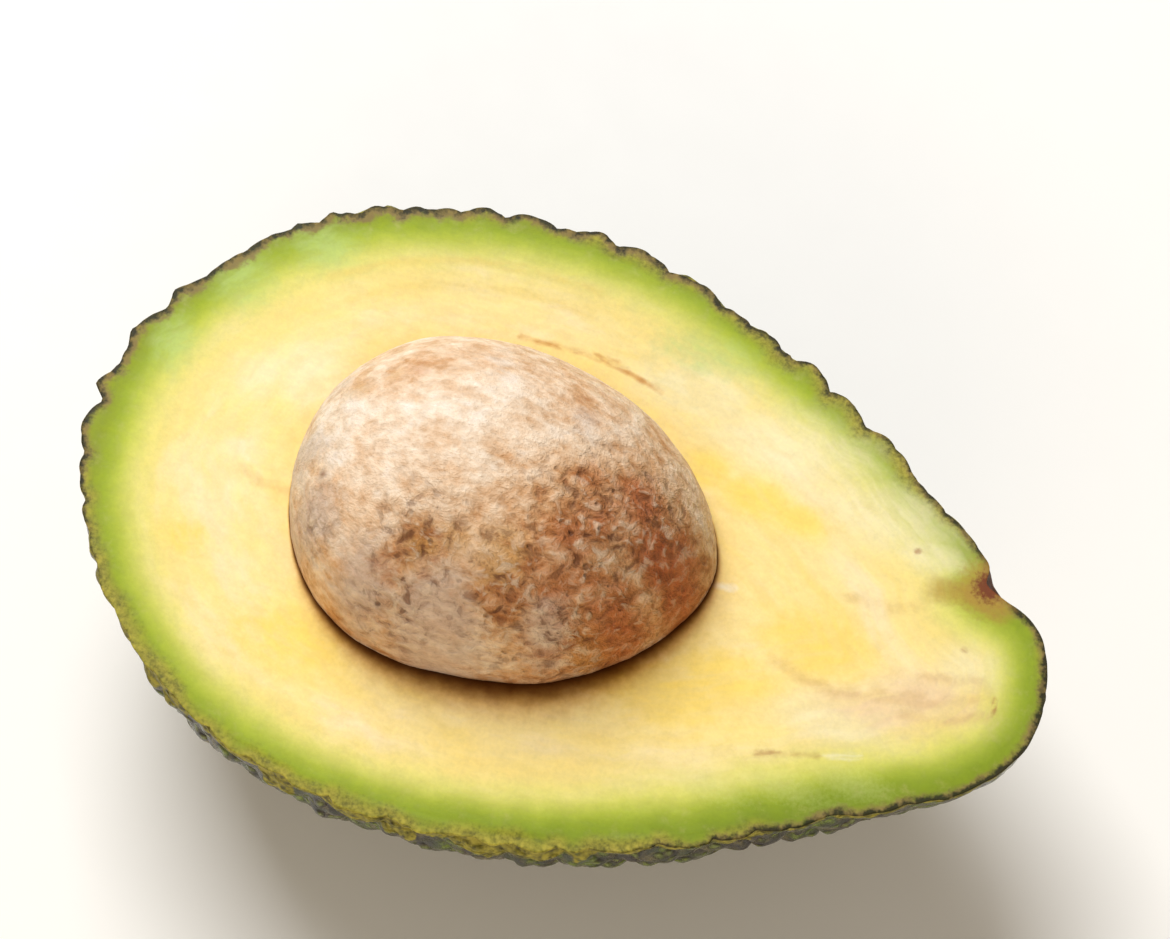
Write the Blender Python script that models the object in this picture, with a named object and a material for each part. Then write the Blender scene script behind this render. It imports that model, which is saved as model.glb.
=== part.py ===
# Half of an avocado, cut lengthwise through the stem scar, lying on its back with its seed in the hollow.
# The long axis is X with the stem end at +X. The cut face is level and faces +Z.
# Z is 0 on the surface that the half lies on, and X and Y are 0 in the middle of its box. Metres.

import math

import bmesh
import bpy
import numpy as np
from mathutils import kdtree, noise

MM = 0.001

# Driving dimensions.
# Both outlines lie in the plane of the cut: degrees round from +X, and millimetres from the middle
# of the fat end or of the seed.
FRUIT_OUTLINE = [
    (0, 64.0), (6, 61.7), (12, 55.9), (20, 49.6), (31, 43.8), (46, 38.4), (66, 34.3), (92, 31.7), (126, 32.1),
    (160, 33.4), (188, 33.8), (216, 32.1), (250, 30.6), (278, 31.5), (300, 34.8), (318, 40.1), (332, 46.3),
    (342, 53.0), (350, 61.0), (355, 63.8),
]  # fmt: skip
SEED_OUTLINE = [
    (0, 21.5), (22, 20.4), (50, 18.2), (80, 17.1), (110, 18.2), (140, 20.5), (170, 21.4), (205, 20.7),
    (235, 18.8), (265, 16.4), (295, 16.4), (325, 18.1), (348, 20.4),
]  # fmt: skip
PEEL_THICKNESS = 1.3 * MM
FLESH_GAP = 0.3 * MM
SEED_GAP = 0.35 * MM
SEED_MIDDLE = (8.0 * MM, 0.4 * MM)
# The seed's height over and under the cut, as a share of its width there
SEED_RISE = 1.10
SEED_SINK = 0.88
# How far the belly is flattened where it lies on the surface
REST_FLAT = 0.5 * MM
# The middle of the fat end, from the middle of the half's box
FRUIT_MIDDLE = (-14.5 * MM, -0.6 * MM)

# The stem scar is a dimple in the plane of the cut
SCAR_DIRECTION = math.radians(9.2)
SCAR_DEPTH = 2.6 * MM
SCAR_RADIUS = 3.6 * MM

# Pebbles of the skin, raised from the surface
PEBBLE_COUNT = 620
PEBBLE_HEIGHT = 1.15 * MM
PEBBLE_ROUNDNESS = 2.6
PEBBLE_SEED = 7
PEBBLE_JITTER = 0.32
# Pebbles die away towards the stem end, between these distances from the tip
SMOOTH_TIP = 6 * MM
PEBBLED_FROM = 26 * MM
# Slow swells that keep the fruit from being too regular
SWELL_HEIGHT = 0.5 * MM
SWELL_LENGTH = 24 * MM

# Rows of faces along a quarter of each form
SKIN_ROWS = 38
INSIDE_ROWS = 18
SEED_ROWS = 12

COLOURS = {
    "peel": ((0.055, 0.062, 0.022, 1), 0.42),
    "flesh": ((0.80, 0.76, 0.32, 1), 0.38),
    "seed": ((0.55, 0.32, 0.17, 1), 0.55),
}


def clear_scene():
    for old in list(bpy.data.objects):
        bpy.data.objects.remove(old, do_unlink=True)


def smooth_outline(points):
    """A function from angles to radii that runs through the points and is smooth all the way round."""
    degrees, millimetres = np.array(points, float).T
    at = np.radians(degrees)
    radii = millimetres * MM
    count = len(at)
    gap = np.diff(at, append=at[0] + math.tau)
    rise = np.diff(radii, append=radii[0]) / gap
    # A periodic cubic spline: one equation for each point's second derivative
    system = np.zeros((count, count))
    for i in range(count):
        system[i, i - 1] += gap[i - 1]
        system[i, i] += 2 * (gap[i - 1] + gap[i])
        system[i, (i + 1) % count] += gap[i]
    bend = np.linalg.solve(system, 6 * (rise - np.roll(rise, 1)))
    next_radius = np.roll(radii, -1)
    next_bend = np.roll(bend, -1)

    def radius(angles):
        angles = np.mod(angles, math.tau)
        i = np.searchsorted(at, angles, side="right") - 1
        t = (angles - at[i]) / gap[i]
        bow = ((1 - t) ** 3 - (1 - t)) * bend[i] + (t**3 - t) * next_bend[i]
        return (1 - t) * radii[i] + t * next_radius[i] + bow * gap[i] ** 2 / 6

    return radius


fruit_radius = smooth_outline(FRUIT_OUTLINE)
seed_radius = smooth_outline(SEED_OUTLINE)


def round_form(directions, radius):
    """Points of a form that is round about X: it blends from one side of its outline to the other."""
    tilt = np.arccos(np.clip(directions[:, 0], -1, 1))
    across = np.hypot(directions[:, 1], directions[:, 2])
    side = np.where(across > 1e-9, directions[:, 1] / np.maximum(across, 1e-9), 0)
    near_side = radius(tilt)
    far_side = radius(-tilt)
    reach = (near_side + far_side) / 2 + side * (near_side - far_side) / 2
    return directions * reach[:, None]


def even_tilts(radius, shares, by_area):
    """Angles from X that part the form's surface, or its outline's length, in the given shares."""
    tilt = np.linspace(0, math.pi, 721)
    reach = (radius(tilt) + radius(-tilt)) / 2
    along = reach * np.cos(tilt)
    out = reach * np.sin(tilt)
    step = np.hypot(np.diff(along), np.diff(out))
    if by_area:
        step = step * (out[1:] + out[:-1])
    total = np.concatenate([[0], np.cumsum(step)])
    return np.interp(shares, total / total[-1], tilt)


def turned(tilt, directions):
    """The directions with new angles from X, each still in its own plane through X."""
    across = np.maximum(np.hypot(directions[:, 1], directions[:, 2]), 1e-9)
    moved = np.empty_like(directions)
    moved[:, 0] = np.cos(tilt)
    moved[:, 1:] = directions[:, 1:] / across[:, None] * np.sin(tilt)[:, None]
    return moved


def positions(form):
    return np.array([v.co for v in form.verts])


def place(form, points):
    for vertex, point in zip(form.verts, points):
        vertex.co = point
    form.normal_update()


def gridded_form(rows, radius):
    """A closed form on the grid of a divided cube, with cells of about one size. One ring of it lies in the cut."""
    form = bmesh.new()
    start_height = form.verts.layers.float.new("start_height")
    bmesh.ops.create_cube(form, size=2)
    bmesh.ops.subdivide_edges(form, edges=form.edges[:], cuts=rows - 1, use_grid_fill=True)
    spread = np.tan(positions(form) * math.pi / 4)
    directions = spread / np.linalg.norm(spread, axis=1)[:, None]
    shares = np.arccos(np.clip(directions[:, 0], -1, 1)) / math.pi
    directions = turned(even_tilts(radius, shares, by_area=False), directions)
    place(form, round_form(directions, radius))
    for vertex in form.verts:
        vertex[start_height] = vertex.co.z
    return form


def add_swells_and_scar(points):
    """The fruit's slow unevenness and the dimple of the stem scar, moved along lines from its middle."""
    scar = fruit_radius(SCAR_DIRECTION) * np.array([math.cos(SCAR_DIRECTION), math.sin(SCAR_DIRECTION), 0])
    away = np.linalg.norm(points, axis=1)
    swell = np.array([noise.noise(p) for p in points / SWELL_LENGTH]) * SWELL_HEIGHT
    dent = SCAR_DEPTH * np.exp(-(((points - scar) ** 2).sum(axis=1)) / SCAR_RADIUS**2 * 2)
    return points * ((away + swell - dent) / away)[:, None]


def sink(form, depth):
    """Moves the form's surface inwards by an even depth."""
    normals = np.array([v.normal for v in form.verts])
    place(form, positions(form) - normals * depth)


def fruit_form(rows, depth):
    form = gridded_form(rows, fruit_radius)
    place(form, add_swells_and_scar(positions(form)))
    sink(form, depth)
    return form


def seed_form(clearance):
    """The seed, or the hollow it lies in when the clearance is above zero."""
    form = gridded_form(SEED_ROWS, seed_radius)
    for vertex in form.verts:
        vertex.co.z *= SEED_RISE if vertex.co.z > 0 else SEED_SINK
    form.normal_update()
    sink(form, -clearance)
    for vertex in form.verts:
        vertex.co.x += SEED_MIDDLE[0]
        vertex.co.y += SEED_MIDDLE[1]
    return form


def pebble_middles():
    """Places of the pebbles, spread evenly over the whole fruit along a golden-angle spiral and jogged."""
    draw = np.random.default_rng(PEBBLE_SEED)
    number = np.arange(PEBBLE_COUNT)
    shares = (number + 0.5) / PEBBLE_COUNT
    golden_angle = math.pi * (3 - math.sqrt(5))
    about = number * golden_angle
    cell = math.sqrt(4 * math.pi / PEBBLE_COUNT)
    tilt = even_tilts(fruit_radius, shares, by_area=True)
    tilt = tilt + draw.uniform(-1, 1, PEBBLE_COUNT) * cell * PEBBLE_JITTER
    about = about + draw.uniform(-1, 1, PEBBLE_COUNT) * cell * PEBBLE_JITTER / np.sin(tilt).clip(0.2)
    directions = np.stack([np.cos(tilt), np.sin(tilt) * np.cos(about), np.sin(tilt) * np.sin(about)], axis=1)
    sizes = draw.uniform(0.55, 1.0, PEBBLE_COUNT)
    return add_swells_and_scar(round_form(directions, fruit_radius)), sizes


def add_pebbles(form):
    """Raises the skin into round pebbles that meet in valleys, each inside the cell nearest its middle."""
    middles, sizes = pebble_middles()
    tree = kdtree.KDTree(len(middles))
    for i, middle in enumerate(middles):
        tree.insert(middle, i)
    tree.balance()
    tip = np.array([fruit_radius(0.0), 0, 0])
    points = positions(form)
    normals = np.array([v.normal for v in form.verts])
    lift = np.zeros(len(points))
    for i, point in enumerate(points):
        nearest, second = tree.find_n(point, 2)
        share = 2 * nearest[2] / (nearest[2] + second[2])
        lift[i] = sizes[nearest[1]] * (1 - share**PEBBLE_ROUNDNESS)
    fade = np.clip((np.linalg.norm(points - tip, axis=1) - SMOOTH_TIP) / (PEBBLED_FROM - SMOOTH_TIP), 0.08, 1)
    place(form, points + normals * (lift * fade * PEBBLE_HEIGHT)[:, None])


def keep_under_cut(form):
    """Leaves the half under the cut, open at the top, with its edge exactly in the cut."""
    start_height = form.verts.layers.float["start_height"]
    above = [v for v in form.verts if v[start_height] > 1e-6]
    bmesh.ops.delete(form, geom=above, context="VERTS")
    for vertex in form.verts:
        if vertex.is_boundary:
            vertex.co.z = 0
    form.verts.layers.float.remove(start_height)


def flatten_belly(form, floor):
    for vertex in form.verts:
        vertex.co.z = max(vertex.co.z, floor)


def add_dome(target, dome, facing_in):
    """Adds an open dome to the target. One that faces in is the wall of a hollow."""
    if facing_in:
        bmesh.ops.reverse_faces(dome, faces=dome.faces[:])
    carrier = bpy.data.meshes.new("carrier")
    dome.to_mesh(carrier)
    dome.free()
    target.from_mesh(carrier)
    bpy.data.meshes.remove(carrier)


def close_at_cut(form):
    """Fills the flat face between the form's open edges, which all lie in the cut."""
    edges = [e for e in form.edges if e.is_boundary]
    bmesh.ops.triangle_fill(form, edges=edges, use_beauty=True, use_dissolve=False)
    bmesh.ops.recalc_face_normals(form, faces=form.faces[:])


def material(name):
    colour, roughness = COLOURS[name]
    made = bpy.data.materials.new(name)
    made.use_nodes = True
    shader = made.node_tree.nodes["Principled BSDF"]
    shader.inputs["Base Color"].default_value = colour
    shader.inputs["Roughness"].default_value = roughness
    shader.inputs["Metallic"].default_value = 0
    made.diffuse_color = colour
    return made


def finished(form, name, collection, location):
    bmesh.ops.triangulate(form, faces=form.faces[:])
    mesh = bpy.data.meshes.new(name)
    form.to_mesh(mesh)
    form.free()
    mesh.shade_smooth()
    mesh.set_sharp_from_angle(angle=math.radians(50))
    mesh.materials.append(material(name))
    piece = bpy.data.objects.new(name, mesh)
    piece.location = location
    collection.objects.link(piece)


def build():
    clear_scene()
    collection = bpy.data.collections.new("avocado_half")
    bpy.context.scene.collection.children.link(collection)

    # The belly's lowest point under the cut, before it is flattened
    skin = fruit_form(SKIN_ROWS, 0)
    floor = min(v.co.z for v in skin.verts) + REST_FLAT
    cut_place = (FRUIT_MIDDLE[0], FRUIT_MIDDLE[1], -floor)

    # Peel: pebbled outside, smooth inside, with its cut edge as a flat band
    add_pebbles(skin)
    keep_under_cut(skin)
    flatten_belly(skin, floor)
    peel = bmesh.new()
    add_dome(peel, skin, facing_in=False)
    lining = fruit_form(INSIDE_ROWS, PEEL_THICKNESS)
    keep_under_cut(lining)
    flatten_belly(lining, floor + PEEL_THICKNESS)
    add_dome(peel, lining, facing_in=True)
    close_at_cut(peel)
    finished(peel, "peel", collection, cut_place)

    # Flesh: fills the peel, with the seed's hollow in its cut face
    body = fruit_form(INSIDE_ROWS, PEEL_THICKNESS + FLESH_GAP)
    keep_under_cut(body)
    flatten_belly(body, floor + PEEL_THICKNESS + FLESH_GAP)
    flesh = bmesh.new()
    add_dome(flesh, body, facing_in=False)
    hollow = seed_form(SEED_GAP)
    keep_under_cut(hollow)
    add_dome(flesh, hollow, facing_in=True)
    close_at_cut(flesh)
    finished(flesh, "flesh", collection, cut_place)

    finished(seed_form(0), "seed", collection, cut_place)


build()
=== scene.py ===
import functools
import math

import bmesh
import bpy
import numpy as np
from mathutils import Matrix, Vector, kdtree, noise


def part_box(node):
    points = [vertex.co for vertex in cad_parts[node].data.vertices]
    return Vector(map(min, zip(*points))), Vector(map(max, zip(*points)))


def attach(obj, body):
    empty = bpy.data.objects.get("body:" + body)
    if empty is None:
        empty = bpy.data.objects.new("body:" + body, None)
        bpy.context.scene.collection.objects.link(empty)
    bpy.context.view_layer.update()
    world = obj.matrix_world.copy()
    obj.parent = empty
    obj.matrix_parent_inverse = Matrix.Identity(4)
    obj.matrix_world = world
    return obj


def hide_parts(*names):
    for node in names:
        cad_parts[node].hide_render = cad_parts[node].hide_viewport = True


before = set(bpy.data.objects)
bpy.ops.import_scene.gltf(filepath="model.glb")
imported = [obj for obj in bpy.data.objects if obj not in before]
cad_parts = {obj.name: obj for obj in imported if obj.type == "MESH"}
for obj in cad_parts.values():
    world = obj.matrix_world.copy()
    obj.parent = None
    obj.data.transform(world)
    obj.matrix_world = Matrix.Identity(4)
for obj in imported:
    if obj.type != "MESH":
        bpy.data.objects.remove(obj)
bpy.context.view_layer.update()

mm = 0.001
tiny = 1e-9       # keeps a division from failing
touching = 1e-6   # points closer than this are one

# The fruit's own measures, the same as in the part's source. Outlines are in the plane of the cut: degrees
# round from +X, and mm from the middle of the fat end or of the seed.
fruit = {
    "outline": [
        (0, 64), (6, 61.7), (12, 55.9), (20, 49.6), (31, 43.8), (46, 38.4), (66, 34.3), (92, 31.7),
        (126, 32.1), (160, 33.4), (188, 33.8), (216, 32.1), (250, 30.6), (278, 31.5), (300, 34.8),
        (318, 40.1), (332, 46.3), (342, 53), (350, 61), (355, 63.8),
    ],
    "middle": (-14.5, -0.6),      # mm, the middle of the fat end in the part's frame
    "swell": (0.5, 24),           # mm high, mm long
    "scarAt": 9.2,                # degrees
    "scarSize": (2.6, 3.6),       # mm deep, mm radius
    "pebbles": {"count": 620, "height": 1.15, "roundness": 2.6, "seed": 7, "jitter": 0.32},
    "pebbleSizes": (0.55, 1),   # shares of the full height
    "tipFade": (6, 26),           # mm from the tip where the pebbles start, and where they are full
}


def smoothOutline(points):
    # radius as a smooth closed curve of the angle
    degrees, radii = np.array(points, float).T
    at = np.radians(degrees)
    radii = radii * mm
    count = len(at)
    gap = np.diff(at, append=at[0] + math.tau)
    rise = np.diff(radii, append=radii[0]) / gap
    system = np.zeros((count, count))
    for i in range(count):
        system[i, i - 1] += gap[i - 1]
        system[i, i] += 2 * (gap[i - 1] + gap[i])
        system[i, (i + 1) % count] += gap[i]
    bend = np.linalg.solve(system, 6 * (rise - np.roll(rise, 1)))
    nextRadius = np.roll(radii, -1)
    nextBend = np.roll(bend, -1)

    def radius(angles):
        angles = np.mod(angles, math.tau)
        i = np.searchsorted(at, angles, side="right") - 1
        t = (angles - at[i]) / gap[i]
        bow = ((1 - t) ** 3 - (1 - t)) * bend[i] + (t**3 - t) * nextBend[i]
        return (1 - t) * radii[i] + t * nextRadius[i] + bow * gap[i] ** 2 / 6

    return radius


fruitRadius = smoothOutline(fruit["outline"])


def roundForm(directions, radius):
    # round about X, blending from one side of the outline to the other
    tilt = np.arccos(np.clip(directions[:, 0], -1, 1))
    across = np.hypot(directions[:, 1], directions[:, 2])
    side = np.where(across > tiny, directions[:, 1] / np.maximum(across, tiny), 0)
    nearSide = radius(tilt)
    farSide = radius(-tilt)
    return directions * ((nearSide + farSide) / 2 + side * (nearSide - farSide) / 2)[:, None]


def evenTilts(radius, shares, byArea):
    # angles from the X axis that divide the form evenly, by length or by area
    tilt = np.linspace(0, math.pi, 721)
    reach = (radius(tilt) + radius(-tilt)) / 2
    along = reach * np.cos(tilt)
    out = reach * np.sin(tilt)
    step = np.hypot(np.diff(along), np.diff(out))
    if byArea:
        step = step * (out[1:] + out[:-1])
    total = np.concatenate([[0], np.cumsum(step)])
    return np.interp(shares, total / total[-1], tilt)


def cubeDirections(points, radius):
    # from the grid of a divided cube to directions, with cells of about one size on the form
    spread = np.tan(points * math.pi / 4)
    directions = spread / np.linalg.norm(spread, axis=1)[:, None]
    tilt = evenTilts(radius, np.arccos(np.clip(directions[:, 0], -1, 1)) / math.pi, False)
    across = np.maximum(np.hypot(directions[:, 1], directions[:, 2]), tiny)
    moved = np.empty_like(directions)
    moved[:, 0] = np.cos(tilt)
    moved[:, 1:] = directions[:, 1:] / across[:, None] * np.sin(tilt)[:, None]
    return moved


def swellsAndScar(points):
    height, length = fruit["swell"]
    depth, size = fruit["scarSize"]
    at = math.radians(fruit["scarAt"])
    scar = fruitRadius(at) * np.array([math.cos(at), math.sin(at), 0])
    away = np.linalg.norm(points, axis=1)
    swell = np.array([noise.noise(p) for p in points / (length * mm)]) * height * mm
    dent = depth * mm * np.exp(-(((points - scar) ** 2).sum(axis=1)) / (size * mm) ** 2 * 2)
    return points * ((away + swell - dent) / away)[:, None]


def pebbleMiddles(look):
    # a golden-angle spiral over the whole fruit, jogged
    draw = np.random.default_rng(look["seed"])
    count = look["count"]
    number = np.arange(count)
    about = number * math.pi * (3 - math.sqrt(5))
    cell = math.sqrt(4 * math.pi / count)
    tilt = evenTilts(fruitRadius, (number + 0.5) / count, True)
    tilt = tilt + draw.uniform(-1, 1, count) * cell * look["jitter"]
    about = about + draw.uniform(-1, 1, count) * cell * look["jitter"] / np.sin(tilt).clip(0.2)
    directions = np.stack([np.cos(tilt), np.sin(tilt) * np.cos(about), np.sin(tilt) * np.sin(about)], axis=1)
    sizes = draw.uniform(*fruit["pebbleSizes"], count)
    return swellsAndScar(roundForm(directions, fruitRadius)), sizes


def treeOf(points):
    tree = kdtree.KDTree(len(points))
    for i, point in enumerate(points):
        tree.insert(point, i)
    tree.balance()
    return tree


def pebbleLift(points, look):
    # 1 on a full-sized pebble's top, 0 in the valleys
    middles, sizes = pebbleMiddles(look)
    tree = treeOf(middles)
    lift = np.zeros(len(points))
    for i, point in enumerate(points):
        nearest, second = tree.find_n(point, 2)
        share = 2 * nearest[2] / (nearest[2] + second[2])
        lift[i] = sizes[nearest[1]] * (1 - share ** look["roundness"])
    return lift


def mmTo(curve, points):
    # from each point to the nearest one of a dense curve, in the plane of the cut
    tree = treeOf(curve)
    return np.array([tree.find(p)[2] for p in points * np.array([1, 1, 0])]) / mm


def mmToLine(points, line, step=0.1):
    # the same for a line that is given by its corners in mm
    corners = np.array([(x, y, 0) for x, y in line], float)
    dense = [corners[:1]]
    for a, b in zip(corners[:-1], corners[1:]):
        count = max(2, int(np.linalg.norm(b - a) / step))
        dense.append(a + (b - a) * np.linspace(0, 1, count)[1:, None])
    return mmTo(np.concatenate(dense) * mm, points)


def smooth(values, low, high):
    t = np.clip((values - low) / (high - low), 0, 1)
    return t * t * (3 - 2 * t)


def byDegrees(table, degrees):
    return np.interp(degrees, *np.array(table, float).T)


def waysAt(angles):
    # unit vectors in the plane of the cut
    return np.stack([np.cos(angles), np.sin(angles), np.zeros(len(angles))], axis=1)


def noiseAt(points, size, octaves=3):
    # fractal noise, about -1 to 1, with features of that size in mm
    smoothness, finer = 0.6, 2.0
    scale = np.array(size, float) * mm
    return np.array([noise.fractal(p, smoothness, finer, octaves) for p in points / scale])


def meshArray(items, what="co"):
    values = np.empty(len(items) * 3)
    items.foreach_get(what, values)
    return values.reshape(-1, 3)


def setMeshPoints(mesh, points):
    mesh.vertices.foreach_set("co", points.ravel())
    mesh.update()


def addAttribute(mesh, name, values):
    values = np.asarray(values, float)
    kind = "FLOAT" if values.ndim == 1 else "FLOAT_VECTOR"
    layer = mesh.attributes.new(name, kind, "POINT")
    layer.data.foreach_set("value" if values.ndim == 1 else "vector", values.ravel())


# The pieces are made round the middle of the fat end, with the cut at height 0, and put in place as a whole
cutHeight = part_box("peel")[1].z
fruitPlace = Vector((fruit["middle"][0] * mm, fruit["middle"][1] * mm, cutHeight))


def planeCurve(inset):
    # the fruit's outline in the plane of the cut, moved inwards, as points at even angles
    angles = np.radians(np.arange(0, 360, 0.25))
    points = swellsAndScar(waysAt(angles) * fruitRadius(angles)[:, None])
    along = np.roll(points, -2, axis=0) - np.roll(points, 2, axis=0)
    along /= np.linalg.norm(along, axis=1)[:, None]
    inward = np.stack([-along[:, 1], along[:, 0], np.zeros(len(angles))], axis=1)
    return points + inward * inset * mm


def polarRadius(points):
    # a closed curve as radii by angle round the origin
    angles = np.mod(np.arctan2(points[:, 1], points[:, 0]), math.tau)
    order = np.argsort(angles)
    angles = angles[order]
    radii = np.hypot(points[:, 0], points[:, 1])[order]
    angles = np.concatenate([angles[-3:] - math.tau, angles, angles[:3] + math.tau])
    radii = np.concatenate([radii[-3:], radii, radii[:3]])

    def radius(at):
        return np.interp(np.mod(at, math.tau), angles, radii)

    return radius


def dividedCube(rows, halfOnly):
    form = bmesh.new()
    bmesh.ops.create_cube(form, size=2)
    bmesh.ops.subdivide_edges(form, edges=form.edges[:], cuts=rows - 1, use_grid_fill=True)
    if halfOnly:
        bmesh.ops.delete(form, geom=[v for v in form.verts if v.co.z > touching], context="VERTS")
    return form


def meshOf(form, name):
    mesh = bpy.data.meshes.new(name)
    form.to_mesh(mesh)
    form.free()
    return mesh


def addObject(name, data):
    made = bpy.data.objects.new(name, data)
    bpy.context.scene.collection.objects.link(made)
    return made


def addPiece(form, name, materials, node):
    mesh = meshOf(form, name)
    mesh.shade_smooth()
    for material in materials:
        mesh.materials.append(material)
    piece = addObject(name, mesh)
    piece.location = fruitPlace
    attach(piece, "root")
    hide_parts(node)
    return piece


def toLinear(hexColour):
    channels = [int(hexColour[i:i + 2], 16) / 255 for i in (1, 3, 5)]
    return [c / 12.92 if c <= 0.04045 else ((c + 0.055) / 1.055) ** 2.4 for c in channels] + [1]


def fillNode(node, settings):
    # Each setting goes to a socket by its name or number, as a value or as the output that feeds it, or to
    # the node itself. "stops" fills a colour ramp, and "range" gives a Map Range node its from low, from
    # high, to low and to high. A colour mix has its share at 0 and its two colours at 6 and 7.
    for name, value in settings.items():
        if name == "stops":
            elements = node.color_ramp.elements
            while len(elements) < len(value):
                elements.new(0.5)
            for element, (position, colour) in zip(elements, value):
                element.position = position
                element.color = toLinear(colour)
        elif name == "range":
            for socket, end in zip(node.inputs[1:5], value):
                socket.default_value = end
        elif isinstance(value, bpy.types.NodeSocket):
            node.id_data.links.new(value, node.inputs[name])
        elif isinstance(name, str) and hasattr(node, name):
            setattr(node, name, value)
        else:
            node.inputs[name].default_value = toLinear(value) if isinstance(value, str) else value


def addNode(tree, kind, settings, out=None):
    # the kind may come with its mode or attribute, and the result is the named output or the first in use
    kind, *mode = kind.split()
    node = tree.nodes.new("ShaderNode" + kind)
    modes = {"MapRange": "interpolation_type", "TexVoronoi": "feature", "Attribute": "attribute_name"}
    if mode:
        setattr(node, modes.get(kind, "operation"), mode[0])
    if kind == "Mix":
        node.data_type = "RGBA"
    fillNode(node, settings)
    return node.outputs[out] if out else next(socket for socket in node.outputs if socket.enabled)


def newMaterial(name):
    # with its shader, and a function that adds a node to it
    made = bpy.data.materials.new(name)
    made.use_nodes = True
    tree = made.node_tree
    return made, tree.nodes["Principled BSDF"], functools.partial(addNode, tree)


seedLook = {
    "outline": [
        (0, 21.5), (22, 20.4), (50, 18.2), (80, 17.1), (110, 18.2), (140, 20.5), (170, 21.4), (205, 20.7),
        (235, 18.8), (265, 16.4), (295, 16.4), (325, 18.1), (348, 20.4),
    ],
    "middle": (8, 0.4),              # mm, in the fruit
    "rise": 1.10,                    # its height above the cut, against a form round about X
    "sink": 0.88,                    # its depth below the cut, the same way
    "halfWidth": 17,                 # mm
    "rows": 110,                     # faces along a quarter of the seed
    "dents": (0.12, 9),              # mm deep, mm long
    "wrinkles": (0.06, 0.16, 2.2),   # mm deep where smooth and where wrinkled, mm apart
    "coatSpan": (10.5, 15, 0.7),     # mm a radian along the coat's own map, mm round it, and its taper
    # where the coat is pale, russet, ochre, greyish, wrinkled or dotted:
    # x, y in mm on the upper side, radius in mm, strength
    "pale": [(-1, 0.7, 6.5, 0.8), (4.5, 3.5, 5.5, 0.7), (-9, 0.5, 5, 0.7), (10, -3.6, 2.4, 0.5),
             (26, 6, 2.6, 0.8), (8.5, -15, 4, 0.3), (11.5, 6, 3, 0.45)],
    "russet": [(16.8, 2.8, 2.8, 0.6), (21.5, 2.5, 4, 0.8), (25.5, -1, 4.5, 0.95), (17, -4, 3.5, 0.7),
               (12.3, -10.1, 2.6, 0.5), (22.5, -8.5, 6, 0.75), (28, -3, 4, 0.9), (9.6, 5.1, 2, 0.3),
               (-2.7, 8.2, 2.4, 0.55), (2.6, -8.6, 2.5, 0.4), (19, -1, 4, 0.65),
               (17, -8, 5, 0.6)],
    "ochre": [(10.7, -7.5, 3.6, 0.8), (3.2, -8.9, 2.8, 0.7), (21.5, -11.6, 3.5, 0.7), (6.5, -7.5, 3, 0.6),
              (-7.6, 5, 2, 0.6), (-5, 7, 2, 0.5), (0.5, 9.5, 2.5, 0.4)],
    "mauve": [(-11.5, -1.5, 3.5, 0.6), (-9.5, 6, 3, 0.45), (4, 12, 3.5, 0.4), (-8.9, -7.4, 4, 0.7),
              (-1.3, -12.9, 4.5, 0.7), (16.5, -11.5, 3.5, 0.6), (9.5, 1, 2, 0.35), (14, 8.5, 2.5, 0.5),
              (6, -14.5, 5.5, 0.8)],
    "wrinkled": [(19, -3, 8, 1), (3, -8.8, 5, 1), (12, -10, 5.5, 1),
                 (2, -12.5, 4.5, 0.9), (18, -10, 5, 0.9), (23.5, 2, 5, 0.9), (-8, -9, 3, 0.5)],
    "dots": [(-8.6, -3.9, 0.55, 0.6), (-8.3, -5.1, 0.5, 0.55), (15.5, 2.6, 0.5, 0.7), (26.2, 0.8, 0.6, 0.7)],
    "marksFade": (-6, 4),                # mm from the cut where these marks start, and where they are full
    "warmWay": (0.55, -0.84, -14, 18),   # the way in which the coat grows darker, partly its own browner pointed end and partly painted shade on the side away from the light, from and to in mm
    "rimBand": (6, 0.5),                 # mm above the cut where the greyer rim starts, and where it is full
    "rimSide": (-0.8, -6, 6),            # the slope of the line that it keeps behind, and its soft edge
}
seedRadius = smoothOutline(seedLook["outline"])
seedMiddle = np.array([seedLook["middle"][0] * mm, seedLook["middle"][1] * mm, 0])

# Avocado skin: living plant tissue with a thin natural wax. It is dark green to purple-brown, in small
# irregular grains that each carry their own highlight from the wax, with a painted highlight on each grain's
# top and painted shade round its foot, and paler lines of cork in some of the valleys.
skinLook = {
    # tones by patch, from purple-brown to green
    "tones": [(0.36, "#3A2A1E"), (0.46, "#3A350F"), (0.56, "#4A560F"), (0.70, "#647816")],
    # painted highlight on each grain's top, and painted shade round its foot
    "paintedGrainHighlight": "#7F8E2C",
    "paintedGrainShade": "#1C190B",
    "valley": "#6F663A",
    "cork": "#5E3A26",
    "scrape": [(0.34, "#4C4819"), (0.46, "#7A742A"), (0.62, "#A39A3C")],   # the bared rind
    "grain": 1.3,               # mm, as all sizes here
    "patchSize": 5,
    "speckSize": 0.8,
    "warp": (1.8, 0.8),         # how long and how strong the grains' bend is
    "bump": 0.5,
    "roughness": (0.16, 0.32),
    "wax": 0.3,
}


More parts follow.
